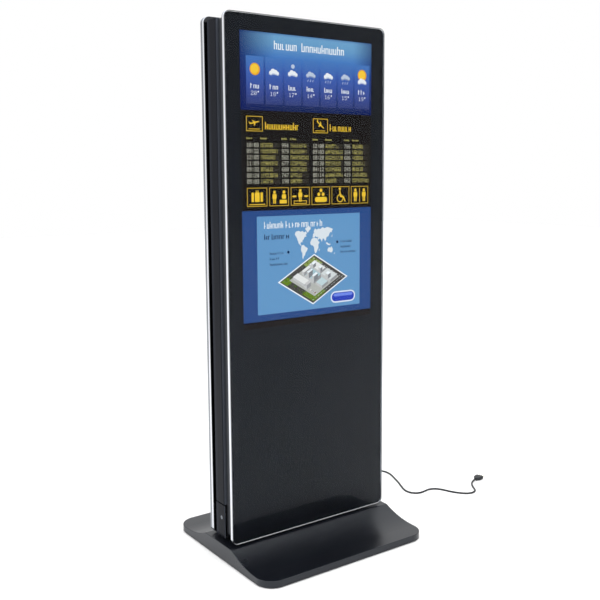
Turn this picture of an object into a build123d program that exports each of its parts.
"""Free-standing touchscreen kiosk: a portrait display slab and a rear door slab either side of a slim
core, on a heavy profiled foot. Millimetres, +Z up, the front faces -Y, origin on the floor at the
centre of the foot."""

import math
import os

from build123d import *

os.makedirs("parts", exist_ok=True)

# ---- driving dimensions: foot ----
FOOT_WIDTH = 670
FOOT_DEPTH = 596
FOOT_CORNER = 60
RIM_HEIGHT = 25
RIDGE_HEIGHT = 57
SLOPE_RADIUS = 335          # concave slope between the flat rim and the ridge
RIM_FLAT = 68               # flat part of the top behind each rim
SHELL_WALL = 3
SHELL_LIFT = 3              # the shell hangs this far above the floor
RIDGE_SOFTNESS = 12
RIM_SOFTNESS = 2
CABLE_HOLE = 14             # cable way up from the foot into the core
CABLE_HOLE_Y = 25
PAD_THICKNESS = 4
PAD_RADIUS = 22
PAD_SPACING_X, PAD_SPACING_Y = 540, 225
FIT_GAP = 1                 # clearance on each side of parts that drop into an opening
CUT_OVERRUN = 1             # how far a cutting shape runs past the face it enters
BALLAST_THICKNESS = 10
BALLAST_MARGIN = 8          # between the ballast plate's ends and the shell's inside
BALLAST_DEPTH = 514         # leaves room for the mains cable inside the rear rim

# ---- driving dimensions: slabs and core ----
SLAB_WIDTH = 640
SLAB_HEIGHT = 1710
SLAB_BOTTOM = 62
SLAB_CORNER = 21
STACK_DEPTH = 150           # front glass to rear panel
FRONT_BAND = 16.5           # depth of the polished band round the front slab
GLASS_SINK = 0.2            # the glass lies this far below the band's front edge
GLASS_BED = 0.1             # bonding gap behind the glass
BAND_CHAMFER = 0.8
REAR_BAND = 22              # depth of the polished band round the rear door
BAND_WIDTH = 16
BAND_LIP = 1.5              # what shows of the band round the glass
HOUSING_INSET = 14          # the display housing's side, in from the slab's edge
COVER_INSET = 4             # the side cover's face, in from the slab's edge
COVER_FRONT = -15           # front and rear edges of the side covers
COVER_REAR = 43
COVER_LAND = 51             # how far each cover reaches inwards, to carry the door seal
COVER_WALL = 2.5
COVER_SOFTNESS = 5
SEAM_HEIGHT = 182           # top of the access flap
SEAM_GAP = 4
CORE_TOP = 1756
SLAB_GAP = 0.3              # between the covers and the slab or seal that meets them

# ---- driving dimensions: display ----
SCREEN_WIDTH = 529.4        # active area of a 43 inch 16:9 panel, in portrait
SCREEN_HEIGHT = 941.2
SCREEN_TOP_MARGIN = 54.5
PANEL_BORDER = 9
GLASS_THICKNESS = 4
GLASS_CHAMFER = 0.5
SENSOR_THICKNESS = 0.8
SENSOR_MARGIN = 7           # the touch film reaches this far past the active area
CELL_MARGIN = 7             # and the display cell this far
FILM_GAP = 0.15             # in front of the touch film and behind it
CELL_THICKNESS = 4
BACKLIGHT_DEPTH = 16
SHEET = 2
HARNESS_HEIGHT = 960        # hole through which the display's cables pass
HARNESS_HOLE = 22

# ---- driving dimensions: frame ----
UPRIGHT_WIDTH = 40
UPRIGHT_DEPTH = 30
UPRIGHT_X = 235
UPRIGHT_Y = 0
UPRIGHT_TOP = 1722
TUBE_WALL = 2.5
FLANGE_THICKNESS = 8
FLANGE_WIDTH, FLANGE_DEPTH = 90, 100
BOLT_SPACING_X, BOLT_SPACING_Y = 66, 76
BOLT_RADIUS, BOLT_HOLE = 5, 5.5
BOLT_HEAD, BOLT_HEAD_HEIGHT = 9, 6.4
RAIL_SECTION, RAIL_DEPTH = 25, 24
RAIL_HEIGHTS = (230, 700, 1200, 1690)

# ---- driving dimensions: cord ----
CORD_DIAMETER = 6.8
CORD_FLOOR = 3.5            # height of the cord's centre line where it lies on the floor
GLAND_X = 250
GLAND_Z = 13
GLAND_THREAD = 6
COIL_X, COIL_Y = 475, 396
COIL_INNER, COIL_OUTER, COIL_HEIGHT = 28, 53, 15
COIL_LIFT = 0.1

# ---- places that follow from them ----
FRONT_Y = -STACK_DEPTH / 2
REAR_Y = STACK_DEPTH / 2
SLAB_TOP = SLAB_BOTTOM + SLAB_HEIGHT
SLAB_MIDDLE = SLAB_BOTTOM + SLAB_HEIGHT / 2
SLAB_SIDE = SLAB_WIDTH / 2
FRONT_SLAB_REAR = FRONT_Y + FRONT_BAND
DOOR_FRONT = REAR_Y - REAR_BAND
COVER_FACE = SLAB_SIDE - COVER_INSET
COVER_INNER = COVER_FACE - COVER_LAND
SCREEN_TOP = SLAB_TOP - SCREEN_TOP_MARGIN
SCREEN_MIDDLE = SCREEN_TOP - SCREEN_HEIGHT / 2
GLASS_REAR = FRONT_Y + GLASS_SINK + GLASS_THICKNESS
SENSOR_REAR = GLASS_REAR + FILM_GAP + SENSOR_THICKNESS
PANEL_FRONT = SENSOR_REAR + FILM_GAP
PANEL_REAR = PANEL_FRONT + CELL_THICKNESS + BACKLIGHT_DEPTH
BALLAST_TOP = PAD_THICKNESS + BALLAST_THICKNESS
FLANGE_TOP = BALLAST_TOP + FLANGE_THICKNESS
CORE_BOTTOM = 66
COVER_MIDDLE = (COVER_FRONT + COVER_REAR) / 2


def facing_front(y):
    """A sketch plane at depth y with local X along the width and local Y up; extruding goes to -Y."""
    return Plane.XZ.offset(-y)


def slope_reach(radius, rise):
    """How far along Y a concave arc, level at its foot, takes to climb by rise."""
    return math.sqrt(radius**2 - (radius - rise) ** 2)


def finish(builder, label):
    """Name a finished piece and write it out."""
    builder.part.label = label
    export_step(builder.part, f"parts/{label}.step")


def foot_profile(inset, bottom):
    """The foot's cross-section along Y, drawn in by inset, with its underside at bottom."""
    edge = FOOT_DEPTH / 2 - inset
    rim = RIM_HEIGHT - inset
    ridge = RIDGE_HEIGHT - inset
    slope_foot = FOOT_DEPTH / 2 - RIM_FLAT
    radius = SLOPE_RADIUS + inset
    reach = slope_reach(radius, ridge - rim)
    half_angle = math.asin(reach / radius) / 2
    middle_y = slope_foot - radius * math.sin(half_angle)
    middle_z = rim + radius * (1 - math.cos(half_angle))
    with BuildSketch(Plane.YZ.offset(inset - FOOT_WIDTH / 2)) as profile:
        with BuildLine():
            Polyline((-slope_foot, rim), (-edge, rim), (-edge, bottom), (edge, bottom))
            Polyline((edge, bottom), (edge, rim), (slope_foot, rim))
            ThreePointArc((slope_foot, rim), (middle_y, middle_z), (slope_foot - reach, ridge))
            Line((slope_foot - reach, ridge), (reach - slope_foot, ridge))
            ThreePointArc((reach - slope_foot, ridge), (-middle_y, middle_z), (-slope_foot, rim))
        make_face()
    return profile.sketch


def foot_body(inset, bottom):
    """The foot's outer form, or its hollow, as one solid: the cross-section within the rounded plan."""
    with BuildPart() as body:
        with BuildSketch(Plane.XY):
            RectangleRounded(FOOT_WIDTH - 2 * inset, FOOT_DEPTH - 2 * inset, FOOT_CORNER - inset)
        extrude(amount=RIDGE_HEIGHT)
        extrude(foot_profile(inset, bottom), amount=FOOT_WIDTH - 2 * inset, mode=Mode.INTERSECT)
    return body.part


def on_foot_rim(edge):
    """True for the edges where the foot's top meets its upright sides."""
    place = edge.center()
    outside = abs(place.X) > FOOT_WIDTH / 2 - FOOT_CORNER or abs(place.Y) > FOOT_DEPTH / 2 - FOOT_CORNER
    return outside and place.Z > SHELL_LIFT + RIM_HEIGHT / 2


# ======================= foot =======================
foot_outside = foot_body(0, SHELL_LIFT)
foot_hollow = foot_body(SHELL_WALL, 0)

with BuildPart() as base_shell:
    add(foot_outside)
    edges_along_x = base_shell.edges().filter_by(Axis.X)
    fillet(edges_along_x.group_by(Axis.Z)[-1], RIDGE_SOFTNESS)
    fillet(base_shell.edges().filter_by(Axis.Z, reverse=True).filter_by(on_foot_rim), RIM_SOFTNESS)
    add(foot_hollow, mode=Mode.SUBTRACT)
    with BuildSketch(Plane.XY.offset(RIDGE_HEIGHT - SHELL_WALL - CUT_OVERRUN)):
        with Locations((-UPRIGHT_X, UPRIGHT_Y), (UPRIGHT_X, UPRIGHT_Y)):
            Rectangle(UPRIGHT_WIDTH + 2 * FIT_GAP, UPRIGHT_DEPTH + 2 * FIT_GAP)
        with Locations((0, CABLE_HOLE_Y)):
            Circle(CABLE_HOLE)
    extrude(amount=SHELL_WALL + 2 * CUT_OVERRUN, mode=Mode.SUBTRACT)
    with BuildSketch(facing_front(FOOT_DEPTH / 2 + CUT_OVERRUN)):
        with Locations((GLAND_X, GLAND_Z)):
            Circle(GLAND_THREAD)
    extrude(amount=SHELL_WALL + 2 * CUT_OVERRUN, mode=Mode.SUBTRACT)
finish(base_shell, "base_shell")

with BuildPart() as ballast_plate:
    margin = SHELL_WALL + BALLAST_MARGIN
    with BuildSketch(Plane.XY.offset(PAD_THICKNESS)):
        RectangleRounded(FOOT_WIDTH - 2 * margin, BALLAST_DEPTH, FOOT_CORNER - margin)
    extrude(amount=BALLAST_THICKNESS)
finish(ballast_plate, "ballast_plate")

with BuildPart() as floor_pads:
    with BuildSketch(Plane.XY):
        with GridLocations(PAD_SPACING_X, PAD_SPACING_Y, 2, 3):
            Circle(PAD_RADIUS)
    extrude(amount=PAD_THICKNESS)
finish(floor_pads, "floor_pads")

# ======================= frame =======================
for side, sign in (("left", -1), ("right", 1)):
    with BuildPart() as upright:
        with BuildSketch(Plane.XY.offset(BALLAST_TOP)):
            with Locations((sign * UPRIGHT_X, UPRIGHT_Y)):
                Rectangle(FLANGE_WIDTH, FLANGE_DEPTH)
        extrude(amount=FLANGE_THICKNESS)
        with BuildSketch(Plane.XY.offset(FLANGE_TOP)):
            with Locations((sign * UPRIGHT_X, UPRIGHT_Y)):
                Rectangle(UPRIGHT_WIDTH, UPRIGHT_DEPTH)
                Rectangle(UPRIGHT_WIDTH - 2 * TUBE_WALL, UPRIGHT_DEPTH - 2 * TUBE_WALL, mode=Mode.SUBTRACT)
        extrude(amount=UPRIGHT_TOP - FLANGE_TOP)
        with BuildSketch(Plane.XY.offset(BALLAST_TOP)):
            with Locations((sign * UPRIGHT_X, UPRIGHT_Y)):
                with GridLocations(BOLT_SPACING_X, BOLT_SPACING_Y, 2, 2):
                    Circle(BOLT_HOLE)
        extrude(amount=FLANGE_THICKNESS, mode=Mode.SUBTRACT)
    finish(upright, f"upright_{side}")

with BuildPart() as foot_bolts:
    for sign in (-1, 1):
        with BuildSketch(Plane.XY.offset(FLANGE_TOP)):
            with Locations((sign * UPRIGHT_X, UPRIGHT_Y)):
                with GridLocations(BOLT_SPACING_X, BOLT_SPACING_Y, 2, 2):
                    RegularPolygon(radius=BOLT_HEAD, side_count=6)
        extrude(amount=BOLT_HEAD_HEIGHT)
        with BuildSketch(Plane.XY.offset(BALLAST_TOP)):
            with Locations((sign * UPRIGHT_X, UPRIGHT_Y)):
                with GridLocations(BOLT_SPACING_X, BOLT_SPACING_Y, 2, 2):
                    Circle(BOLT_RADIUS)
        extrude(amount=FLANGE_THICKNESS)
finish(foot_bolts, "foot_bolts")

RAIL_LENGTH = 2 * UPRIGHT_X - UPRIGHT_WIDTH
with BuildPart() as cross_rails:
    for height in RAIL_HEIGHTS:
        with BuildSketch(Plane.XY.offset(height)):
            with Locations((0, UPRIGHT_Y)):
                Rectangle(RAIL_LENGTH, RAIL_DEPTH)
        extrude(amount=RAIL_SECTION)
        with BuildSketch(Plane.XY.offset(height + TUBE_WALL)):
            with Locations((0, UPRIGHT_Y)):
                Rectangle(RAIL_LENGTH, RAIL_DEPTH - 2 * TUBE_WALL)
        extrude(amount=RAIL_SECTION - 2 * TUBE_WALL, mode=Mode.SUBTRACT)
finish(cross_rails, "cross_rails")

# ======================= core covers =======================


def cover_section(sign, height):
    """Plan section of a side cover: a channel open inwards, with softly rounded outer corners."""
    depth = COVER_REAR - COVER_FRONT
    middle_x = sign * (COVER_FACE - COVER_LAND / 2)
    with BuildSketch(Plane.XY.offset(height)) as section:
        with Locations((middle_x, COVER_MIDDLE)):
            Rectangle(COVER_LAND, depth)
        fillet(section.vertices().group_by(Axis.X)[-1 if sign > 0 else 0], COVER_SOFTNESS)
        with Locations((middle_x - sign * COVER_WALL, COVER_MIDDLE)):
            Rectangle(COVER_LAND, depth - 2 * COVER_WALL, mode=Mode.SUBTRACT)
    return section.sketch


with BuildPart() as side_cover_left:
    add(cover_section(-1, SEAM_HEIGHT + SEAM_GAP / 2))
    extrude(amount=CORE_TOP - SEAM_HEIGHT - SEAM_GAP / 2)
finish(side_cover_left, "side_cover_left")

with BuildPart() as side_cover_right:
    add(cover_section(1, CORE_BOTTOM))
    extrude(amount=CORE_TOP - CORE_BOTTOM)
finish(side_cover_right, "side_cover_right")

# Each cap is a flat closing plate with a rear flange, which the door seal closes against.
CAP_WIDTH = 2 * COVER_INNER - FIT_GAP
CAP_DEPTH = COVER_REAR - COVER_FRONT - FIT_GAP
CAP_FLANGE = 52
CAP_SLOT_LENGTH, CAP_SLOT_WIDTH = 42, 4
FAN_X = 110
FAN_SIZE = 50
FAN_DEPTH = 15
VENT_SLOTS = 7
with BuildPart() as top_cap:
    with BuildSketch(Plane.XY.offset(CORE_TOP - SHEET)):
        with Locations((0, COVER_REAR - CAP_DEPTH / 2)):
            Rectangle(CAP_WIDTH, CAP_DEPTH)
        with Locations((-FAN_X, COVER_MIDDLE), (FAN_X, COVER_MIDDLE)):
            with GridLocations(FAN_SIZE / VENT_SLOTS, 0, VENT_SLOTS, 1):
                SlotOverall(CAP_SLOT_LENGTH, CAP_SLOT_WIDTH, rotation=90, mode=Mode.SUBTRACT)
    extrude(amount=SHEET)
    with BuildSketch(facing_front(COVER_REAR)):
        with Locations((0, CORE_TOP - CAP_FLANGE / 2)):
            Rectangle(CAP_WIDTH, CAP_FLANGE)
    extrude(amount=SHEET)
finish(top_cap, "top_cap")

with BuildPart() as bottom_cap:
    with BuildSketch(Plane.XY.offset(CORE_BOTTOM)):
        with Locations((0, COVER_REAR - CAP_DEPTH / 2)):
            Rectangle(CAP_WIDTH, CAP_DEPTH)
        with Locations((-UPRIGHT_X, UPRIGHT_Y), (UPRIGHT_X, UPRIGHT_Y)):
            Rectangle(UPRIGHT_WIDTH + 2 * FIT_GAP, UPRIGHT_DEPTH + 2 * FIT_GAP, mode=Mode.SUBTRACT)
        with Locations((0, CABLE_HOLE_Y)):
            Circle(CABLE_HOLE, mode=Mode.SUBTRACT)
    extrude(amount=SHEET)
    with BuildSketch(facing_front(COVER_REAR)):
        with Locations((0, CORE_BOTTOM + CAP_FLANGE / 2)):
            Rectangle(CAP_WIDTH, CAP_FLANGE)
    extrude(amount=SHEET)
finish(bottom_cap, "bottom_cap")

# ======================= front display slab =======================


def slab_ring(rear, depth, width):
    """A rounded rectangular band the size of a slab, its rear at the given depth."""
    with BuildPart() as ring:
        with BuildSketch(facing_front(rear)):
            with Locations((0, SLAB_MIDDLE)):
                RectangleRounded(SLAB_WIDTH, SLAB_HEIGHT, SLAB_CORNER)
                RectangleRounded(
                    SLAB_WIDTH - 2 * width, SLAB_HEIGHT - 2 * width, SLAB_CORNER - width, mode=Mode.SUBTRACT
                )
        extrude(amount=depth)
    return ring.part


with BuildPart() as front_edge_frame:
    add(slab_ring(FRONT_SLAB_REAR, FRONT_BAND, BAND_WIDTH))
    with BuildSketch(facing_front(GLASS_REAR + GLASS_BED)):
        with Locations((0, SLAB_MIDDLE)):
            RectangleRounded(SLAB_WIDTH - 2 * BAND_LIP, SLAB_HEIGHT - 2 * BAND_LIP, SLAB_CORNER - BAND_LIP)
    extrude(amount=2 * GLASS_THICKNESS, mode=Mode.SUBTRACT)
    outer_edges = front_edge_frame.faces().sort_by(Axis.Y)[-1].outer_wire().edges()
    chamfer(outer_edges, BAND_CHAMFER)
finish(front_edge_frame, "front_edge_frame")

with BuildPart() as cover_glass:
    with BuildSketch(facing_front(GLASS_REAR)):
        with Locations((0, SLAB_MIDDLE)):
            gap = BAND_LIP + GLASS_SINK
            RectangleRounded(SLAB_WIDTH - 2 * gap, SLAB_HEIGHT - 2 * gap, SLAB_CORNER - gap)
    extrude(amount=GLASS_THICKNESS)
    chamfer(cover_glass.faces().sort_by(Axis.Y)[0].outer_wire().edges(), GLASS_CHAMFER)
finish(cover_glass, "cover_glass")

with BuildPart() as touch_sensor:
    with BuildSketch(facing_front(SENSOR_REAR)):
        with Locations((0, SCREEN_MIDDLE)):
            Rectangle(SCREEN_WIDTH + 2 * SENSOR_MARGIN, SCREEN_HEIGHT + 2 * SENSOR_MARGIN)
    extrude(amount=SENSOR_THICKNESS)
finish(touch_sensor, "touch_sensor")

with BuildPart() as lcd_panel:
    with BuildSketch(facing_front(PANEL_FRONT + CELL_THICKNESS)):
        with Locations((0, SCREEN_MIDDLE)):
            Rectangle(SCREEN_WIDTH + 2 * CELL_MARGIN, SCREEN_HEIGHT + 2 * CELL_MARGIN)
    extrude(amount=CELL_THICKNESS)
finish(lcd_panel, "lcd_panel")

PRESSING_WIDTH, PRESSING_HEIGHT, PRESSING_DEPTH = 440, 24, 3   # stiffening grooves in the backlight's tray
PRESSING_PITCH = 190
with BuildPart() as backlight_unit:
    with BuildSketch(facing_front(PANEL_REAR)):
        with Locations((0, SCREEN_MIDDLE)):
            RectangleRounded(SCREEN_WIDTH + 2 * PANEL_BORDER, SCREEN_HEIGHT + 2 * PANEL_BORDER, 3)
    extrude(amount=BACKLIGHT_DEPTH)
    with BuildSketch(facing_front(PANEL_REAR)):
        with Locations((0, SCREEN_MIDDLE)):
            with GridLocations(0, PRESSING_PITCH, 1, 4):
                Rectangle(PRESSING_WIDTH, PRESSING_HEIGHT)
    extrude(amount=PRESSING_DEPTH, mode=Mode.SUBTRACT)
finish(backlight_unit, "backlight_unit")

HOUSING_WIDTH = SLAB_WIDTH - 2 * HOUSING_INSET
HOUSING_HEIGHT = SLAB_HEIGHT - 2 * HOUSING_INSET
HOUSING_REAR = COVER_FRONT - SLAB_GAP
HOUSING_CORNER = 10
with BuildPart() as front_housing:
    with BuildSketch(facing_front(HOUSING_REAR)):
        with Locations((0, SLAB_MIDDLE)):
            RectangleRounded(HOUSING_WIDTH, HOUSING_HEIGHT, HOUSING_CORNER)
    extrude(amount=HOUSING_REAR - FRONT_SLAB_REAR)
    with BuildSketch(facing_front(HOUSING_REAR - SHEET)):
        with Locations((0, SLAB_MIDDLE)):
            RectangleRounded(HOUSING_WIDTH - 2 * SHEET, HOUSING_HEIGHT - 2 * SHEET, HOUSING_CORNER - SHEET)
    extrude(amount=HOUSING_REAR - FRONT_SLAB_REAR, mode=Mode.SUBTRACT)
    with BuildSketch(facing_front(HOUSING_REAR + CUT_OVERRUN)):
        with Locations((0, HARNESS_HEIGHT)):
            Circle(HARNESS_HOLE)
    extrude(amount=SHEET + 2 * CUT_OVERRUN, mode=Mode.SUBTRACT)
finish(front_housing, "front_housing")

# Four clips hold the backlight unit against the housing's rear wall.
CLIP_WIDTH = 30
CLIP_FOOT = 20
CLIP_PITCH = 600
CLIP_REACH = 8              # how far a clip overlaps the backlight's side
with BuildPart() as panel_clips:
    clip_x = SCREEN_WIDTH / 2 + PANEL_BORDER + SHEET / 2
    for sign in (-1, 1):
        with BuildSketch(facing_front(HOUSING_REAR - SHEET)):
            with Locations((sign * (clip_x + CLIP_FOOT / 2), SCREEN_MIDDLE)):
                with GridLocations(0, CLIP_PITCH, 1, 2):
                    Rectangle(CLIP_FOOT, CLIP_WIDTH)
        extrude(amount=SHEET)
        with BuildSketch(facing_front(HOUSING_REAR - SHEET)):
            with Locations((sign * (clip_x + SHEET / 2), SCREEN_MIDDLE)):
                with GridLocations(0, CLIP_PITCH, 1, 2):
                    Rectangle(SHEET, CLIP_WIDTH)
        extrude(amount=HOUSING_REAR - SHEET - PANEL_REAR + CLIP_REACH)
finish(panel_clips, "panel_clips")

BOARD = 1.6
BOARD_HOLE = 1.6
BOARD_HOLE_INSET = 4
BOARD_REAR = HOUSING_REAR - 6


def board(label, x, z, width, height, parts):
    """A circuit board with its components on the front, as one solid."""
    with BuildPart() as plate:
        with BuildSketch(facing_front(BOARD_REAR)):
            with Locations((x, z)):
                Rectangle(width, height)
                with GridLocations(width - 2 * BOARD_HOLE_INSET, height - 2 * BOARD_HOLE_INSET, 2, 2):
                    Circle(BOARD_HOLE, mode=Mode.SUBTRACT)
        extrude(amount=BOARD)
        for dx, dz, part_width, part_height, thickness in parts:
            with BuildSketch(facing_front(BOARD_REAR - BOARD)):
                with Locations((x + dx, z + dz)):
                    Rectangle(part_width, part_height)
            extrude(amount=thickness)
    finish(plate, label)


# Components: place on the board, width, height and thickness.
DRIVER_COMPONENTS = [(-50, 0, 40, 40, 6), (30, 20, 26, 26, 2), (60, -38, 40, 9, 6)]
TOUCH_COMPONENTS = [(-20, 0, 14, 14, 1.5), (24, -14, 20, 8, 5)]
board("display_driver_board", x=0, z=1330, width=180, height=110, parts=DRIVER_COMPONENTS)
board("touch_controller", x=120, z=1080, width=90, height=50, parts=TOUCH_COMPONENTS)

# Flat-headed screws along both sides of the display housing.
SCREW_HEIGHTS = (95, 505, 915, 1325, 1735)
SCREW_SETBACK = 10          # behind the front slab's band
SCREW_RADIUS, SCREW_HEAD, SCREW_CHAMFER = 3.5, 2, 0.6
with BuildPart() as housing_screws:
    for sign in (-1, 1):
        with BuildSketch(Plane.YZ.offset(sign * HOUSING_WIDTH / 2)):
            for height in SCREW_HEIGHTS:
                with Locations((FRONT_SLAB_REAR + SCREW_SETBACK, height)):
                    Circle(SCREW_RADIUS)
        extrude(amount=sign * SCREW_HEAD)
    for outermost in (0, -1):
        heads = housing_screws.faces().filter_by(Axis.X).group_by(Axis.X)[outermost]
        chamfer(heads.edges(), SCREW_CHAMFER)
finish(housing_screws, "housing_screws")

# ======================= rear door slab =======================
PANEL_SKIN = 3
PAN_GAP = 0.2
PAN_FLANGE = 42
PAN_CORNER = 5
DOOR_LOCK_X = -245
DOOR_LOCK_HEIGHTS = {"lower": 500, "upper": 1400}
LOCK_RADIUS = 9
LOCK_GAP = 0.1
VENT_CENTRES = (320, 1560)
VENT_LENGTH, VENT_WIDTH = 50, 5
VENT_PITCH_X, VENT_PITCH_Z = 58, 12
VENT_COLUMNS, VENT_ROWS = 7, 6

with BuildPart() as rear_edge_frame:
    add(slab_ring(REAR_Y, REAR_BAND, BAND_WIDTH))
    with BuildSketch(facing_front(REAR_Y + CUT_OVERRUN)):
        with Locations((0, SLAB_MIDDLE)):
            RectangleRounded(SLAB_WIDTH - 2 * BAND_LIP, SLAB_HEIGHT - 2 * BAND_LIP, SLAB_CORNER - BAND_LIP)
    extrude(amount=CUT_OVERRUN + PAN_GAP + PANEL_SKIN + PAN_GAP, mode=Mode.SUBTRACT)
    chamfer(rear_edge_frame.faces().sort_by(Axis.Y)[0].outer_wire().edges(), BAND_CHAMFER)
finish(rear_edge_frame, "rear_edge_frame")


def door_openings():
    """Cutter for the door's cooling slots and lock holes."""
    with BuildPart() as cutter:
        with BuildSketch(facing_front(REAR_Y + CUT_OVERRUN)):
            for centre in VENT_CENTRES:
                with Locations((0, centre)):
                    with GridLocations(VENT_PITCH_X, VENT_PITCH_Z, VENT_COLUMNS, VENT_ROWS):
                        SlotOverall(VENT_LENGTH, VENT_WIDTH)
            for height in DOOR_LOCK_HEIGHTS.values():
                with Locations((DOOR_LOCK_X, height)):
                    Circle(LOCK_RADIUS + LOCK_GAP)
        extrude(amount=2 * (CUT_OVERRUN + PANEL_SKIN))
    return cutter.part


with BuildPart() as rear_panel:
    with BuildSketch(facing_front(REAR_Y - PAN_GAP)):
        with Locations((0, SLAB_MIDDLE)):
            gap = BAND_LIP + PAN_GAP
            RectangleRounded(SLAB_WIDTH - 2 * gap, SLAB_HEIGHT - 2 * gap, SLAB_CORNER - gap)
    extrude(amount=PANEL_SKIN)
    add(door_openings(), mode=Mode.SUBTRACT)
finish(rear_panel, "rear_panel")

PAN_REAR = REAR_Y - PAN_GAP - PANEL_SKIN - PAN_GAP
PAN_FRONT = DOOR_FRONT + PAN_GAP
PAN_WIDTH = SLAB_WIDTH - 2 * BAND_WIDTH - 2 * PAN_GAP
PAN_HEIGHT = SLAB_HEIGHT - 2 * BAND_WIDTH - 2 * PAN_GAP
with BuildPart() as door_pan:
    with BuildSketch(facing_front(PAN_REAR)):
        with Locations((0, SLAB_MIDDLE)):
            RectangleRounded(PAN_WIDTH, PAN_HEIGHT, PAN_CORNER)
    extrude(amount=PAN_REAR - PAN_FRONT)
    with BuildSketch(facing_front(PAN_REAR - SHEET)):
        with Locations((0, SLAB_MIDDLE)):
            RectangleRounded(PAN_WIDTH - 2 * SHEET, PAN_HEIGHT - 2 * SHEET, PAN_CORNER - SHEET)
    extrude(amount=PAN_REAR - PAN_FRONT - 2 * SHEET, mode=Mode.SUBTRACT)
    with BuildSketch(facing_front(PAN_FRONT + SHEET)):
        with Locations((0, SLAB_MIDDLE)):
            RectangleRounded(PAN_WIDTH - 2 * PAN_FLANGE, PAN_HEIGHT - 2 * PAN_FLANGE, PAN_CORNER)
    extrude(amount=SHEET, mode=Mode.SUBTRACT)
    add(door_openings(), mode=Mode.SUBTRACT)
finish(door_pan, "door_pan")

SEAL_WIDTH = 564
SEAL_BOTTOM, SEAL_TOP = 82, 1740
SEAL_SECTION = 10
SEAL_CORNER = 12
with BuildPart() as door_seal:
    seal_height = SEAL_TOP - SEAL_BOTTOM
    with BuildSketch(facing_front(PAN_FRONT)):
        with Locations((0, SEAL_BOTTOM + seal_height / 2)):
            RectangleRounded(SEAL_WIDTH, seal_height, SEAL_CORNER)
            RectangleRounded(
                SEAL_WIDTH - 2 * SEAL_SECTION,
                seal_height - 2 * SEAL_SECTION,
                SEAL_CORNER - SEAL_SECTION,
                mode=Mode.SUBTRACT,
            )
    extrude(amount=PAN_FRONT - COVER_REAR - SLAB_GAP)
finish(door_seal, "door_seal")

# Door hinges: knuckles in the shadow gap on the kiosk's right, seen from the front.
HINGE_X, HINGE_Y = 315, 48
HINGE_HEIGHTS = (260, 911, 1560)
HINGE_LENGTH = 90
KNUCKLE = 4.2
DOOR_KNUCKLE = 31           # length of the door's middle knuckle
KNUCKLE_GAP = 0.5
PIN_RADIUS = 2
PIN_CAP = 1.5               # height of the pin's head, and its overhang
RUNNING_GAP = 0.05
LEAF = 2
LEAF_INNER_X = 287
LEAF_CLEAR_X = HINGE_X - KNUCKLE - KNUCKLE_GAP


def leaf_section(bottom, leaf_y, with_knuckle):
    """Plan section of a hinge leaf; with_knuckle carries it on round the pin."""
    reach_x = HINGE_X if with_knuckle else LEAF_CLEAR_X
    with BuildSketch(Plane.XY.offset(bottom)) as section:
        with Locations(((LEAF_INNER_X + reach_x) / 2, leaf_y)):
            Rectangle(reach_x - LEAF_INNER_X, LEAF)
        if with_knuckle:
            with Locations((HINGE_X, HINGE_Y)):
                Circle(KNUCKLE)
                Circle(PIN_RADIUS + RUNNING_GAP, mode=Mode.SUBTRACT)
    return section.sketch


END_KNUCKLE = (HINGE_LENGTH - DOOR_KNUCKLE) / 2 - KNUCKLE_GAP
END_OFFSET = (HINGE_LENGTH - END_KNUCKLE) / 2
BODY_LEAF_Y = COVER_REAR + LEAF / 2
DOOR_LEAF_Y = DOOR_FRONT - LEAF / 2

with BuildPart() as door_hinge_fixed_leaves:
    for height in HINGE_HEIGHTS:
        low = height - HINGE_LENGTH / 2
        extrude(leaf_section(low, BODY_LEAF_Y, False), amount=HINGE_LENGTH)
        extrude(leaf_section(low, BODY_LEAF_Y, True), amount=END_KNUCKLE)
        extrude(leaf_section(low + HINGE_LENGTH - END_KNUCKLE, BODY_LEAF_Y, True), amount=END_KNUCKLE)
finish(door_hinge_fixed_leaves, "door_hinge_fixed_leaves")

with BuildPart() as door_hinge_moving_leaves:
    for height in HINGE_HEIGHTS:
        extrude(leaf_section(height - HINGE_LENGTH / 2, DOOR_LEAF_Y, False), amount=HINGE_LENGTH)
        extrude(leaf_section(height - DOOR_KNUCKLE / 2, DOOR_LEAF_Y, True), amount=DOOR_KNUCKLE)
finish(door_hinge_moving_leaves, "door_hinge_moving_leaves")

with BuildPart() as door_hinge_pins:
    for height in HINGE_HEIGHTS:
        with BuildSketch(Plane.XY.offset(height - HINGE_LENGTH / 2)):
            with Locations((HINGE_X, HINGE_Y)):
                Circle(PIN_RADIUS)
        extrude(amount=HINGE_LENGTH)
        with BuildSketch(Plane.XY.offset(height + HINGE_LENGTH / 2)):
            with Locations((HINGE_X, HINGE_Y)):
                Circle(PIN_RADIUS + PIN_CAP)
        extrude(amount=PIN_CAP)
finish(door_hinge_pins, "door_hinge_pins")

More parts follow.
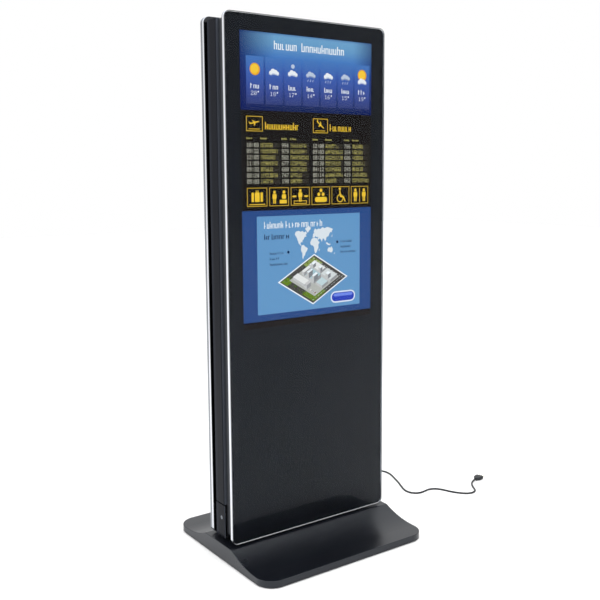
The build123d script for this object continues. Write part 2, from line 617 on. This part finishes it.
# Quarter-turn door locks; each cam stands upright when unlocked.
CAM_THICKNESS = 3
CAM_WIDTH = 16
CAM_LENGTH = 30
CAM_REAR = 39
LOCK_RIM, LOCK_RIM_HEIGHT, LOCK_CHAMFER = 3, 1.5, 0.6
KEYWAY_LENGTH, KEYWAY_WIDTH, KEYWAY_DEPTH = 8, 1.6, 6
for level, height in DOOR_LOCK_HEIGHTS.items():
    with BuildPart() as barrel:
        with BuildSketch(facing_front(REAR_Y + LOCK_RIM_HEIGHT)):
            with Locations((DOOR_LOCK_X, height)):
                Circle(LOCK_RADIUS + LOCK_RIM)
        extrude(amount=LOCK_RIM_HEIGHT)
        chamfer(barrel.faces().sort_by(Axis.Y)[-1].edges(), LOCK_CHAMFER)
        with BuildSketch(facing_front(REAR_Y)):
            with Locations((DOOR_LOCK_X, height)):
                Circle(LOCK_RADIUS)
        extrude(amount=REAR_Y - CAM_REAR)
        with BuildSketch(facing_front(REAR_Y + LOCK_RIM_HEIGHT)):
            with Locations((DOOR_LOCK_X, height)):
                SlotOverall(KEYWAY_LENGTH, KEYWAY_WIDTH, rotation=90)
        extrude(amount=KEYWAY_DEPTH, mode=Mode.SUBTRACT)
    finish(barrel, f"door_lock_barrel_{level}")
    with BuildPart() as cam:
        with BuildSketch(facing_front(CAM_REAR)):
            with Locations((DOOR_LOCK_X, height + (CAM_LENGTH - CAM_WIDTH / 2) / 2)):
                SlotOverall(CAM_LENGTH + CAM_WIDTH / 2, CAM_WIDTH, rotation=90)
        extrude(amount=CAM_THICKNESS)
    finish(cam, f"door_lock_cam_{level}")

# ======================= service recess and access flap, on the left side =======================
RECESS_FRONT = COVER_FRONT + KNUCKLE_GAP
RECESS_BOTTOM = CORE_BOTTOM + SHEET
RECESS_TOP = SEAM_HEIGHT - SEAM_GAP / 2
FLAP_LOCK_Y, FLAP_LOCK_Z = 4, 135
RECESS_FACE = -307          # the recess's rim, behind the flap
RECESS_BACK = -285
RECESS_HEIGHT = RECESS_TOP - RECESS_BOTTOM
RECESS_MIDDLE = (RECESS_TOP + RECESS_BOTTOM) / 2
SWITCH_Y, SWITCH_Z = 16, 155
SWITCH_WIDTH, SWITCH_HEIGHT, SWITCH_DEPTH = 12.8, 18.8, 20
SWITCH_GAP = 0.2            # round the switch's body, and between rocker and well
SWITCH_RIM = 1.1
STRIKE_DEPTH, STRIKE_HEIGHT, STRIKE_THICKNESS = 5, 20, 1.5
with BuildPart() as service_recess:
    with BuildSketch(Plane.YZ.offset(RECESS_FACE)):
        with Locations(((RECESS_FRONT + COVER_REAR) / 2, RECESS_MIDDLE)):
            Rectangle(COVER_REAR - RECESS_FRONT, RECESS_HEIGHT)
            Rectangle(COVER_REAR - RECESS_FRONT - 2 * SHEET, RECESS_HEIGHT - 2 * SHEET, mode=Mode.SUBTRACT)
    extrude(amount=RECESS_BACK - RECESS_FACE)
    with BuildSketch(Plane.YZ.offset(RECESS_BACK)):
        with Locations(((RECESS_FRONT + COVER_REAR) / 2, RECESS_MIDDLE)):
            Rectangle(COVER_REAR - RECESS_FRONT, RECESS_HEIGHT)
        with Locations((SWITCH_Y, SWITCH_Z)):
            Rectangle(SWITCH_WIDTH + 2 * SWITCH_GAP, SWITCH_HEIGHT + 2 * SWITCH_GAP, mode=Mode.SUBTRACT)
    extrude(amount=SHEET)
    with BuildSketch(facing_front(COVER_REAR)):
        with Locations(((RECESS_BACK - COVER_INNER) / 2, RECESS_MIDDLE)):
            Rectangle(-COVER_INNER - RECESS_BACK, RECESS_HEIGHT)
    extrude(amount=SHEET)
    with BuildSketch(Plane.YZ.offset(RECESS_FACE)):
        with Locations((RECESS_FRONT + SHEET + STRIKE_DEPTH / 2, FLAP_LOCK_Z)):
            Rectangle(STRIKE_DEPTH, STRIKE_HEIGHT)
    extrude(amount=STRIKE_THICKNESS)
finish(service_recess, "service_recess")

FLAP_THICKNESS = 3
FLAP_INNER = -COVER_FACE + FLAP_THICKNESS
FLAP_X, FLAP_Y = -310, 40.5  # the flap's hinge axis
FLAP_KNUCKLE = 2.5
FLAP_PIN = 1.2
FLAP_TONGUE = 4             # thickness of the tongues that carry the flap's knuckles
FLAP_TONGUE_ROOT = 1        # how far they are sunk into the flap
FLAP_SIDE_GAP = 0.3
FLAP_SOFTNESS = 2.8
FLAP_LOCK_RADIUS = 5
FLAP_LOCK_RIM, FLAP_LOCK_RIM_HEIGHT, FLAP_LOCK_CHAMFER = 1.5, 1.2, 0.5
FLAP_LOCK_DEPTH = 12
FLAP_KEYWAY_LENGTH, FLAP_KEYWAY_WIDTH, FLAP_KEYWAY_DEPTH = 5.5, 1.2, 4
FLAP_CAM_LENGTH, FLAP_CAM_WIDTH, FLAP_CAM_THICKNESS = 17, 8, 2
FIXED_KNUCKLES = (86, 152)
FLAP_KNUCKLES = (98, 140)
KNUCKLE_LENGTH = 11
with BuildPart() as access_flap:
    flap_bottom = CORE_BOTTOM + FIT_GAP
    with BuildSketch(Plane.XY.offset(flap_bottom)):
        with Locations((-COVER_FACE + FLAP_THICKNESS / 2, COVER_MIDDLE)):
            Rectangle(FLAP_THICKNESS, COVER_REAR - COVER_FRONT - 2 * FLAP_SIDE_GAP)
    extrude(amount=SEAM_HEIGHT - SEAM_GAP / 2 - flap_bottom)
    fillet(access_flap.edges().filter_by(Axis.Z).sort_by(Axis.X)[:2], FLAP_SOFTNESS)
    with BuildSketch(Plane.YZ.offset(-COVER_FACE)):
        with Locations((FLAP_LOCK_Y, FLAP_LOCK_Z)):
            Circle(FLAP_LOCK_RADIUS + LOCK_GAP)
    extrude(amount=FLAP_THICKNESS, mode=Mode.SUBTRACT)
    for bottom in FLAP_KNUCKLES:
        with BuildSketch(Plane.XY.offset(bottom)):
            with Locations(((FLAP_INNER + FLAP_X - FLAP_TONGUE_ROOT) / 2, FLAP_Y)):
                Rectangle(FLAP_X - FLAP_INNER + FLAP_TONGUE_ROOT, FLAP_TONGUE)
            with Locations((FLAP_X, FLAP_Y)):
                Circle(FLAP_KNUCKLE)
                Circle(FLAP_PIN + RUNNING_GAP, mode=Mode.SUBTRACT)
        extrude(amount=KNUCKLE_LENGTH)
finish(access_flap, "access_flap")

ARM_LENGTH, ARM_THICKNESS, ARM_OFFSET = 10, 1.6, 1.7   # a bracket's arm, in front of the hinge axis
BLOCK_LENGTH, BLOCK_DEPTH = 6, 3                        # and the block that joins it to the recess
BLOCK_OVERHANG = 0.5
with BuildPart() as flap_hinge_brackets:
    for bottom in FIXED_KNUCKLES:
        with BuildSketch(Plane.XY.offset(bottom)):
            with Locations((FLAP_X + ARM_LENGTH / 2, FLAP_Y - ARM_OFFSET)):
                Rectangle(ARM_LENGTH, ARM_THICKNESS)
            block_x = RECESS_FACE + BLOCK_OVERHANG + BLOCK_LENGTH / 2
            with Locations((block_x, COVER_REAR - SHEET - BLOCK_DEPTH / 2)):
                Rectangle(BLOCK_LENGTH, BLOCK_DEPTH)
            with Locations((FLAP_X, FLAP_Y)):
                Circle(FLAP_KNUCKLE)
                Circle(FLAP_PIN + RUNNING_GAP, mode=Mode.SUBTRACT)
        extrude(amount=KNUCKLE_LENGTH)
finish(flap_hinge_brackets, "flap_hinge_brackets")

with BuildPart() as flap_hinge_pin:
    with BuildSketch(Plane.XY.offset(FIXED_KNUCKLES[0])):
        with Locations((FLAP_X, FLAP_Y)):
            Circle(FLAP_PIN)
    extrude(amount=FIXED_KNUCKLES[1] + KNUCKLE_LENGTH - FIXED_KNUCKLES[0])
finish(flap_hinge_pin, "flap_hinge_pin")

with BuildPart() as flap_lock_barrel:
    with BuildSketch(Plane.YZ.offset(-COVER_FACE - FLAP_LOCK_RIM_HEIGHT)):
        with Locations((FLAP_LOCK_Y, FLAP_LOCK_Z)):
            Circle(FLAP_LOCK_RADIUS + FLAP_LOCK_RIM)
    extrude(amount=FLAP_LOCK_RIM_HEIGHT)
    chamfer(flap_lock_barrel.faces().sort_by(Axis.X)[0].edges(), FLAP_LOCK_CHAMFER)
    with BuildSketch(Plane.YZ.offset(-COVER_FACE)):
        with Locations((FLAP_LOCK_Y, FLAP_LOCK_Z)):
            Circle(FLAP_LOCK_RADIUS)
    extrude(amount=FLAP_LOCK_DEPTH)
    with BuildSketch(Plane.YZ.offset(-COVER_FACE - FLAP_LOCK_RIM_HEIGHT)):
        with Locations((FLAP_LOCK_Y, FLAP_LOCK_Z)):
            SlotOverall(FLAP_KEYWAY_LENGTH, FLAP_KEYWAY_WIDTH, rotation=90)
    extrude(amount=FLAP_KEYWAY_DEPTH, mode=Mode.SUBTRACT)
finish(flap_lock_barrel, "flap_lock_barrel")

with BuildPart() as flap_lock_cam:
    with BuildSketch(Plane.YZ.offset(-COVER_FACE + FLAP_LOCK_DEPTH)):
        with Locations((FLAP_LOCK_Y, FLAP_LOCK_Z + (FLAP_CAM_LENGTH - FLAP_CAM_WIDTH) / 2)):
            SlotOverall(FLAP_CAM_LENGTH, FLAP_CAM_WIDTH, rotation=90)
    extrude(amount=FLAP_CAM_THICKNESS)
finish(flap_lock_cam, "flap_lock_cam")

# A drum rocker in a round-bottomed well; at rest it leans to the on side.
ROCKER_AXIS_X = RECESS_BACK - 0.5
ROCKER_RADIUS = 7.6
ROCKER_TILT = 9
ROCKER_WIDTH = 9.6
ROCKER_FACE = 3.4           # from the rocker's axis to its pressing face
with BuildPart() as power_switch:
    with BuildSketch(Plane.YZ.offset(RECESS_BACK - SHEET)):
        with Locations((SWITCH_Y, SWITCH_Z)):
            Rectangle(SWITCH_WIDTH + 2 * SWITCH_RIM, SWITCH_HEIGHT + 2 * SWITCH_RIM)
    extrude(amount=SHEET)
    with BuildSketch(Plane.YZ.offset(RECESS_BACK)):
        with Locations((SWITCH_Y, SWITCH_Z)):
            Rectangle(SWITCH_WIDTH, SWITCH_HEIGHT)
    extrude(amount=SWITCH_DEPTH)
    with BuildSketch(facing_front(SWITCH_Y + ROCKER_WIDTH / 2 + SWITCH_GAP)):
        with Locations((ROCKER_AXIS_X, SWITCH_Z)):
            Circle(ROCKER_RADIUS + SWITCH_GAP)
    extrude(amount=ROCKER_WIDTH + 2 * SWITCH_GAP, mode=Mode.SUBTRACT)
finish(power_switch, "power_switch")

with BuildPart() as power_rocker:
    with BuildSketch(facing_front(SWITCH_Y + ROCKER_WIDTH / 2)):
        with Locations(Location((ROCKER_AXIS_X, SWITCH_Z, 0), (0, 0, ROCKER_TILT))):
            Circle(ROCKER_RADIUS)
            with Locations((-ROCKER_RADIUS - ROCKER_FACE, 0)):
                Rectangle(2 * ROCKER_RADIUS, 2 * ROCKER_RADIUS + CUT_OVERRUN, mode=Mode.SUBTRACT)
    extrude(amount=ROCKER_WIDTH)
finish(power_rocker, "power_rocker")

# ======================= electronics in the core =======================
PLATE_REAR = UPRIGHT_Y - UPRIGHT_DEPTH / 2 + 3
PLATE_MIDDLE, PLATE_HEIGHT = 477, 500
PLATE_GAP = 2               # between the plate and each upright
with BuildPart() as equipment_plate:
    with BuildSketch(facing_front(PLATE_REAR)):
        with Locations((0, PLATE_MIDDLE)):
            Rectangle(RAIL_LENGTH - 2 * PLATE_GAP, PLATE_HEIGHT)
            with GridLocations(120, 150, 3, 3):
                SlotOverall(40, 6, mode=Mode.SUBTRACT)
    extrude(amount=SHEET)
finish(equipment_plate, "equipment_plate")

PLAYER_X, PLAYER_Z = -105, 560
PLAYER_WIDTH, PLAYER_HEIGHT, PLAYER_DEPTH = 180, 190, 40
CASE_CORNER = 4
FIN_GROOVES, FIN_PITCH, FIN_GAP, FIN_DEPTH = 17, 9, 5, 8
with BuildPart() as media_player:
    with BuildSketch(facing_front(PLATE_REAR + PLAYER_DEPTH)):
        with Locations((PLAYER_X, PLAYER_Z)):
            RectangleRounded(PLAYER_WIDTH, PLAYER_HEIGHT, CASE_CORNER)
    extrude(amount=PLAYER_DEPTH)
    with BuildSketch(Plane.XY.offset(PLAYER_Z - PLAYER_HEIGHT / 2 - CUT_OVERRUN)):
        with Locations((PLAYER_X, PLATE_REAR + PLAYER_DEPTH)):
            with GridLocations(FIN_PITCH, 0, FIN_GROOVES, 1):
                Rectangle(FIN_GAP, 2 * FIN_DEPTH)
    extrude(amount=PLAYER_HEIGHT + 2 * CUT_OVERRUN, mode=Mode.SUBTRACT)
finish(media_player, "media_player")

SUPPLY_X, SUPPLY_Z = 110, 560
SUPPLY_WIDTH, SUPPLY_HEIGHT, SUPPLY_DEPTH = 110, 200, 38
SUPPLY_CHAMFER = 2
GRILLE_PITCH, GRILLE_CELL, GRILLE_DEPTH = 10, 3.6, 1.5
with BuildPart() as power_supply:
    with BuildSketch(facing_front(PLATE_REAR + SUPPLY_DEPTH)):
        with Locations((SUPPLY_X, SUPPLY_Z)):
            Rectangle(SUPPLY_WIDTH, SUPPLY_HEIGHT)
    extrude(amount=SUPPLY_DEPTH)
    chamfer(power_supply.edges().filter_by(Axis.Z).sort_by(Axis.Y)[-2:], SUPPLY_CHAMFER)
    with BuildSketch(facing_front(PLATE_REAR + SUPPLY_DEPTH)):
        with Locations((SUPPLY_X, SUPPLY_Z)):
            with GridLocations(GRILLE_PITCH, GRILLE_PITCH, 7, 9):
                RegularPolygon(radius=GRILLE_CELL, side_count=6)
    extrude(amount=GRILLE_DEPTH, mode=Mode.SUBTRACT)
finish(power_supply, "power_supply")

FILTER_Z = 300
FILTER_WIDTH, FILTER_HEIGHT, FILTER_DEPTH = 56, 60, 46
with BuildPart() as mains_filter:
    with BuildSketch(facing_front(PLATE_REAR + FILTER_DEPTH)):
        with Locations((0, FILTER_Z)):
            RectangleRounded(FILTER_WIDTH, FILTER_HEIGHT, CASE_CORNER)
    extrude(amount=FILTER_DEPTH)
finish(mains_filter, "mains_filter")

BRACKET_HEIGHTS = (300, 750, 1200, 1650)
BRACKET_LENGTH = 30
BRACKET_FOOT = 18           # the turned-up end that is fixed to the cover
BRACKET_FOOT_Y = UPRIGHT_Y + 8
with BuildPart() as cover_brackets:
    for sign in (-1, 1):
        inner = UPRIGHT_X + UPRIGHT_WIDTH / 2
        outer = COVER_FACE - COVER_WALL
        for height in BRACKET_HEIGHTS:
            with BuildSketch(Plane.XY.offset(height)):
                with Locations((sign * (inner + outer) / 2, UPRIGHT_Y)):
                    Rectangle(outer - inner, SHEET)
                with Locations((sign * (outer - SHEET / 2), BRACKET_FOOT_Y)):
                    Rectangle(SHEET, BRACKET_FOOT)
            extrude(amount=BRACKET_LENGTH)
finish(cover_brackets, "cover_brackets")

# ---- cooling fans under the top cap ----
HUB_RADIUS = 10
BLADE_TIP = 22.6
BLADES = 7
BLADE_ROOT = 1.5            # how far each blade is sunk into the hub
BLADE_CHORD, BLADE_THICKNESS, BLADE_PITCH = 9, 1.2, 35
FAN_TOP = CORE_TOP - SHEET
FAN_BOTTOM = FAN_TOP - FAN_DEPTH
FAN_CORNER = 3
FAN_RING = 1.5              # wall of the fan's frame at its thinnest
STRUT_WIDTH, STRUT_DEPTH = 3, 2
SPINDLE_RADIUS, SPINDLE_LENGTH = 1.5, 6
ROTOR_LIFT = 0.5            # gap between the struts and the rotor
HUB_DEPTH, BORE_DEPTH = 11, 6.5
BLADE_MIDDLE = FAN_BOTTOM + 8
for side, sign in (("left", -1), ("right", 1)):
    fan_x = sign * FAN_X
    with BuildPart() as fan_frame:
        with BuildSketch(Plane.XY.offset(FAN_BOTTOM)):
            with Locations((fan_x, COVER_MIDDLE)):
                RectangleRounded(FAN_SIZE, FAN_SIZE, FAN_CORNER)
                Circle(FAN_SIZE / 2 - FAN_RING, mode=Mode.SUBTRACT)
        extrude(amount=FAN_DEPTH)
        with BuildSketch(Plane.XY.offset(FAN_BOTTOM)):
            with Locations((fan_x, COVER_MIDDLE)):
                Circle(HUB_RADIUS)
                for turn in (45, 135):
                    Rectangle(FAN_SIZE - FAN_RING, STRUT_WIDTH, rotation=turn)
        extrude(amount=STRUT_DEPTH)
        with BuildSketch(Plane.XY.offset(FAN_BOTTOM + STRUT_DEPTH)):
            with Locations((fan_x, COVER_MIDDLE)):
                Circle(SPINDLE_RADIUS)
        extrude(amount=SPINDLE_LENGTH)
    finish(fan_frame, f"fan_frame_{side}")
    with BuildPart() as fan_rotor:
        with BuildSketch(Plane.XY.offset(FAN_BOTTOM + STRUT_DEPTH + ROTOR_LIFT)):
            with Locations((fan_x, COVER_MIDDLE)):
                Circle(HUB_RADIUS)
        extrude(amount=HUB_DEPTH)
        with Locations((fan_x, COVER_MIDDLE, BLADE_MIDDLE)):
            with PolarLocations((HUB_RADIUS - BLADE_ROOT + BLADE_TIP) / 2, BLADES):
                blade_length = BLADE_TIP - HUB_RADIUS + BLADE_ROOT
                Box(blade_length, BLADE_CHORD, BLADE_THICKNESS, rotation=(BLADE_PITCH, 0, 0))
        with BuildSketch(Plane.XY.offset(FAN_BOTTOM + STRUT_DEPTH + ROTOR_LIFT)):
            with Locations((fan_x, COVER_MIDDLE)):
                Circle(SPINDLE_RADIUS + RUNNING_GAP)
        extrude(amount=BORE_DEPTH, mode=Mode.SUBTRACT)
    finish(fan_rotor, f"fan_rotor_{side}")

# ======================= cables held inside =======================


def held_cable(label, points, radii, diameter):
    """A round cable along straight runs joined by arcs."""
    with BuildPart() as cable:
        with BuildLine() as path:
            FilletPolyline(*points, radius=radii)
        with BuildSketch(Plane(origin=path.line @ 0, z_dir=path.line % 0)):
            Circle(diameter / 2)
        sweep()
    finish(cable, label)


GLAND_TAIL = 15             # length of the gland's thread inside the foot
FOOT_CABLE_Z = BALLAST_TOP + 4.2
FOOT_CABLE_BENDS = [14, 40, 40]
held_cable(
    "foot_mains_cable",
    [
        (GLAND_X, FOOT_DEPTH / 2 - GLAND_TAIL, GLAND_Z),
        (GLAND_X - 1, 258, FOOT_CABLE_Z),
        (150, 140, FOOT_CABLE_Z),
        (0, CABLE_HOLE_Y, FOOT_CABLE_Z),
        (0, CABLE_HOLE_Y, FILTER_Z - FILTER_HEIGHT / 2),
    ],
    FOOT_CABLE_BENDS,
    CORD_DIAMETER,
)

# The display's cables climb behind the frame, then turn through the harness hole to the driver board.
LEAD_DIAMETER = 5
LEAD_BENDS = [40, 14, 12]
LEAD_Y, DISPLAY_LEAD_Y = 18, -26
LEAD_TURN_Z, LEAD_TOP_Z = 890, 1275
for label, sign, start_x, start_z in (
    ("display_power_cable", 1, SUPPLY_X, SUPPLY_Z + SUPPLY_HEIGHT / 2),
    ("display_video_cable", -1, PLAYER_X, PLAYER_Z + PLAYER_HEIGHT / 2),
):
    held_cable(
        label,
        [
            (start_x, LEAD_Y, start_z),
            (start_x, LEAD_Y, LEAD_TURN_Z),
            (sign * 10, LEAD_Y, HARNESS_HEIGHT),
            (sign * 9, DISPLAY_LEAD_Y, HARNESS_HEIGHT + 8),
            (sign * 24, DISPLAY_LEAD_Y, LEAD_TOP_Z),
        ],
        LEAD_BENDS,
        LEAD_DIAMETER,
    )

# ======================= mains cord =======================
FOOT_BACK = FOOT_DEPTH / 2
GLAND_HEAD, GLAND_HEAD_LENGTH = 10, 6
GLAND_THREAD_GAP = 0.1
NUT_RADIUS, NUT_LENGTH = 9.5, 5
RELIEF_LENGTH = 36
RELIEF_RADIUS, RELIEF_NARROWING = 7.5, 3.2
RELIEF_END = FOOT_BACK + GLAND_HEAD_LENGTH + RELIEF_LENGTH


def facing_rear(y):
    """A sketch plane at depth y with local X towards -X and local Y up; extruding goes to +Y."""
    return Plane(origin=(0, y, 0), x_dir=(-1, 0, 0), z_dir=(0, 1, 0))


with BuildPart() as cord_gland:
    with BuildSketch(facing_rear(FOOT_BACK - GLAND_TAIL)):
        with Locations((-GLAND_X, GLAND_Z)):
            Circle(GLAND_THREAD - GLAND_THREAD_GAP)
    extrude(amount=GLAND_TAIL)
    with BuildSketch(facing_rear(FOOT_BACK)):
        with Locations((-GLAND_X, GLAND_Z)):
            RegularPolygon(radius=GLAND_HEAD, side_count=6)
    extrude(amount=GLAND_HEAD_LENGTH)
    with BuildSketch(facing_rear(FOOT_BACK + GLAND_HEAD_LENGTH)):
        with Locations((-GLAND_X, GLAND_Z)):
            Circle(RELIEF_RADIUS)
    extrude(amount=RELIEF_LENGTH, taper=math.degrees(math.atan(RELIEF_NARROWING / RELIEF_LENGTH)))
finish(cord_gland, "cord_gland")

with BuildPart() as gland_nut:
    with BuildSketch(facing_rear(FOOT_BACK - SHELL_WALL - NUT_LENGTH)):
        with Locations((-GLAND_X, GLAND_Z)):
            RegularPolygon(radius=NUT_RADIUS, side_count=6)
            Circle(GLAND_THREAD, mode=Mode.SUBTRACT)
    extrude(amount=NUT_LENGTH)
finish(gland_nut, "gland_nut")

# The cord leaves the gland, dips to the floor and is wound into a coil behind the kiosk.
LEAD_IN = [
    (GLAND_X, RELIEF_END, GLAND_Z),
    (251, 364, 10.6),
    (262, 387, 6.6),
    (284, 402, 4.2),
    (313, 404, CORD_FLOOR),
    (347, 393, CORD_FLOOR),
    (387, 377, CORD_FLOOR),
    (424, 360, CORD_FLOOR),
    (457, 353, CORD_FLOOR),
]
# From the coil it wanders over the floor to the right and comes forward to its plug.
LEAD_OUT = [
    (468, 356, 11),
    (502, 346, 8),
    (545, 343, CORD_FLOOR),
    (590, 338, CORD_FLOOR),
    (628, 322, CORD_FLOOR),
    (652, 290, CORD_FLOOR),
    (650, 250, CORD_FLOOR),
    (630, 200, CORD_FLOOR),
    (612, 157, CORD_FLOOR),
    (590, 113, CORD_FLOOR),
    (575, 81, CORD_FLOOR),
    (571, 53, CORD_FLOOR),
    (583, 29, CORD_FLOOR),
    (606, 18, CORD_FLOOR),
    (634, 22, CORD_FLOOR),
    (660, 27, CORD_FLOOR),
    (685, 16, CORD_FLOOR),
    (701, -7, CORD_FLOOR),
    (711, -40, CORD_FLOOR),
    (729, -74, CORD_FLOOR),
    (752, -98, CORD_FLOOR),
    (779, -105, CORD_FLOOR),
    (804, -93, CORD_FLOOR),
    (819, -67, CORD_FLOOR),
    (838, -40, CORD_FLOOR + 0.5),
    (861, -20, 5.5),
    (888, -13, 7.6),
]
ARC_SHARE = 0.45


def corner_radii(points):
    """The largest arc that each corner's shorter run leaves room for."""
    places = [Vector(*point) for point in points]
    runs = [after - before for before, after in zip(places, places[1:])]
    radii = []
    for before, after in zip(runs, runs[1:]):
        half_turn = math.radians(before.get_angle(after) / 2)
        radii.append(ARC_SHARE * min(before.length, after.length) / math.tan(half_turn))
    return radii


for label, points in (("cord_lead_in", LEAD_IN), ("cord_lead_out", LEAD_OUT)):
    with BuildPart() as cord:
        with BuildLine() as path:
            FilletPolyline(*points, radius=corner_radii(points))
        with BuildSketch(Plane(origin=path.line @ 0, z_dir=path.line % 0)):
            Circle(CORD_DIAMETER / 2)
        sweep()
    finish(cord, label)

with BuildPart() as cord_coil:
    with BuildSketch(Plane.XY.offset(COIL_LIFT)):
        with Locations((COIL_X, COIL_Y)):
            Circle(COIL_OUTER)
            Circle(COIL_INNER, mode=Mode.SUBTRACT)
    extrude(amount=COIL_HEIGHT - COIL_LIFT)
finish(cord_coil, "cord_coil")

# Flat moulded plug with three round pins in line, lying on the floor in line with the cord's end.
PLUG_LENGTH = 38
PLUG_WIDTH = 34
PLUG_THICKNESS = 15
PLUG_NECK = 11
PLUG_SOFTNESS = 4
PIN_LENGTH = 19
PIN_SPACING = 9.5
PLUG_PIN_RADIUS, PLUG_PIN_SOFTNESS = 2, 1
plug_start = Vector(*LEAD_OUT[-1])
plug_heading = Vector(LEAD_OUT[-1][0] - LEAD_OUT[-2][0], LEAD_OUT[-1][1] - LEAD_OUT[-2][1], 0).normalized()
plug_across = Vector(-plug_heading.Y, plug_heading.X, 0)


def across_plug(distance):
    """A sketch plane across the plug, this far along it from the cord; local X is level."""
    return Plane(origin=plug_start + plug_heading * distance, x_dir=plug_across, z_dir=plug_heading)


with BuildPart() as mains_plug:
    with BuildSketch(across_plug(0)):
        RectangleRounded(PLUG_NECK, PLUG_NECK, PLUG_SOFTNESS)
    with BuildSketch(across_plug(PLUG_LENGTH / 2)):
        RectangleRounded(PLUG_WIDTH, PLUG_THICKNESS, PLUG_SOFTNESS)
    loft()
    with BuildSketch(across_plug(PLUG_LENGTH / 2)):
        RectangleRounded(PLUG_WIDTH, PLUG_THICKNESS, PLUG_SOFTNESS)
    extrude(amount=PLUG_LENGTH / 2)
finish(mains_plug, "mains_plug")

with BuildPart() as plug_pins:
    with BuildSketch(across_plug(PLUG_LENGTH)):
        with GridLocations(PIN_SPACING, 0, 3, 1):
            Circle(PLUG_PIN_RADIUS)
    extrude(amount=PIN_LENGTH)
    fillet(plug_pins.edges().filter_by(GeomType.CIRCLE).sort_by(Axis.X)[-3:], PLUG_PIN_SOFTNESS)
finish(plug_pins, "plug_pins")
